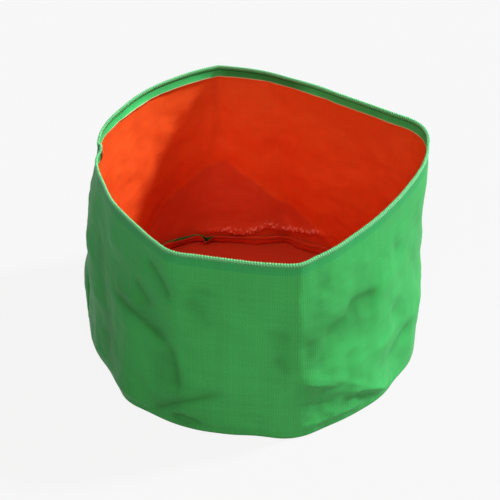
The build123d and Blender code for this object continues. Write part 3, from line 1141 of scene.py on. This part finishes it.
# %% Flaps of the base seam
def base_flap(name, inset, spread_out, *finishes):
    """One of the two flaps of the base seam."""
    place = flap_place(inset, spread_out)
    piece = cloth(name, flap_columns, flap_rows, place, lambda u, row: (u * STRIP, row * BASE_FLAP))
    thicken(piece, SHEET, back_slot=1, rim_slot=2)
    dress(piece, *finishes)
    # Painted shade: the flaps' orange is darkened.
    mark(piece, "painted_dark", lambda u, z: np.full(len(u), 0.8))
    return piece


wall_flap = base_flap("base_seam_wall_flap", 2 * SHEET, wall_flap_spread, green, orange, orange)
ply = base_flap("base_seam_base_flap", BASE_PLY_INSET, base_flap_spread, orange, green, orange)


# %% Stitches round the base seam
def base_stitch_row(name, inset, spread_out, dip):
    """A row of stitches round one face of the flaps; each end dips in by so many mm."""
    pattern = np.array([(0.08, dip), (0.2, 0), (0.8, 0), (0.92, dip)])
    share, out = (np.tile(column, BASE_STITCHES) for column in pattern.T)
    u = (np.repeat(np.arange(BASE_STITCHES), 4) + share) / BASE_STITCHES
    points = flap_place(inset + out * MM, spread_out)(u, np.full(u.shape, ROW_UP_FLAP))
    return sewn(name, points, SEAM_THREAD_RADIUS, dark_thread)


base_needle = base_stitch_row("base_seam_needle_row", 3 * SHEET + 0.7 * MM, base_flap_spread, -0.8)
base_bobbin = base_stitch_row("base_seam_bobbin_row", SHEET - 0.1 * MM, wall_flap_spread, 0.8)
print("base seam:", BASE_STITCHES, "stitches")

# %% [markdown]
# ## Riding on the frame
# Every piece takes the place of its node in the frame and rides on the bag's one body. The wall strip
# was cut with a hem, a seam allowance below and one at each end, and the base with one all round.

# %% Ride and replace
DRESSED = [
    (wall_fabric, "wall_fabric", "green_weave"),
    (wall_lining, "wall_lining", "orange_coating"),
    (rim_hem_fabric, "rim_hem_fabric", "green_weave"),
    (rim_hem_lining, "rim_hem_lining", "orange_coating"),
    (upper_looper, "rim_overlock_upper_looper", "thread"),
    (lower_looper, "rim_overlock_lower_looper", "thread"),
    (needle_thread, "rim_overlock_needle_thread", "thread"),
    (side_front, "side_seam_front_ply", "orange_coating"),
    (side_back, "side_seam_back_ply", "orange_coating"),
    (side_needle, "side_seam_needle_thread", "thread"),
    (side_bobbin, "side_seam_bobbin_thread", "thread"),
    (base_fabric, "base_fabric", "green_weave"),
    (base_lining, "base_lining", "orange_coating"),
    (wall_flap, "base_seam_wall_ply", "orange_coating"),
    (ply, "base_seam_base_ply", "orange_coating"),
    (base_needle, "base_seam_needle_thread", "thread"),
    (base_bobbin, "base_seam_bobbin_thread", "thread"),
]
for piece, node, slot in DRESSED:
    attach(piece, "root")
    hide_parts(node)
print(len(DRESSED), "pieces ride on the frame")

# %% [markdown]
# ## Floor and light
# A sun from the right and a little behind makes the bright side and the shade inside. A weak, wide sun
# and a lamp panel that stands lower than the mouth light the front; the panel can't reach the inside.
# A small high sun gives the film its gloss, and an even sky fills the rest. The floor is dark grey, so
# that little light comes back up from it. Seen directly it is mostly emission, so that it looks pale
# and still keeps the bag's soft shadow.

# %% Floor
bm = bmesh.new()
bmesh.ops.create_grid(bm, x_segments=1, y_segments=1, size=5)
bmesh.ops.translate(bm, verts=bm.verts, vec=(0, 0, -0.3 * MM))
floor = new_object("floor", built("floor", bm))
SEEN_PALE = 0.89
pale = Finish("pale_floor", Roughness=0.9, Base_Color=(0.25, 0.25, 0.25, 1))
seen = pale.node("ShaderNodeLightPath")
direct = (seen + seen.output("Is Glossy Ray") + seen.output("Is Transmission Ray")) * SEEN_PALE
glow = pale.node("ShaderNodeEmission", {}, {"Color": (1, 1, 1, 1), "Strength": 1.0})
surface = Wire(pale, pale.shader.outputs[0])
both = pale.node("ShaderNodeMixShader", {}, {0: direct, 1: surface, 2: glow})
pale.tree.links.new(both.socket, pale.tree.nodes["Material Output"].inputs["Surface"])
dress(floor, pale)

# %% World and lamps
world = bpy.data.worlds.new("studio")
bpy.context.scene.world = world
world.use_nodes = True
sky = world.node_tree.nodes["Background"]
sky.inputs["Color"].default_value = (1.0, 0.985, 0.95, 1)
sky.inputs["Strength"].default_value = 0.26


WHITE, COOL, WARM = (1, 1, 1), (0.98, 1.0, 1.03), (1.0, 0.64, 0.54)


def lamp(kind, name, direction, energy, color, **settings):
    """A light that shines from a direction."""
    light = bpy.data.lights.new(name, kind)
    for key, value in dict(settings, energy=energy, color=color).items():
        setattr(light, key, value)
    holder = new_object(name, light)
    holder.rotation_euler = Vector(direction).to_track_quat("Z", "Y").to_euler()
    return holder


def toward(azimuth, elevation):
    """A direction to a light: azimuth counter-clockwise from +X, both in degrees."""
    a, e = math.radians(azimuth), math.radians(elevation)
    return math.cos(e) * math.cos(a), math.cos(e) * math.sin(a), math.sin(e)


lamp("SUN", "key", toward(15.5, 43.5), 5.0, COOL, angle=math.radians(9))
lamp("SUN", "front_fill", toward(255, 30), 0.72, WARM, angle=math.radians(24))
lamp("SUN", "top_light", toward(300, 74), 0.3, WHITE, angle=math.radians(3))
PANEL_PLACE, PANEL_FACING = (0.26, -1.28, 0.17), (0.26, -1.28, 0.03)
panel = lamp("AREA", "front_panel", PANEL_FACING, 4.5, WARM, shape="RECTANGLE", size=0.5, size_y=0.24)
panel.location = PANEL_PLACE
panel.visible_camera = False
print(len(bpy.data.lights), "lamps and the sky")
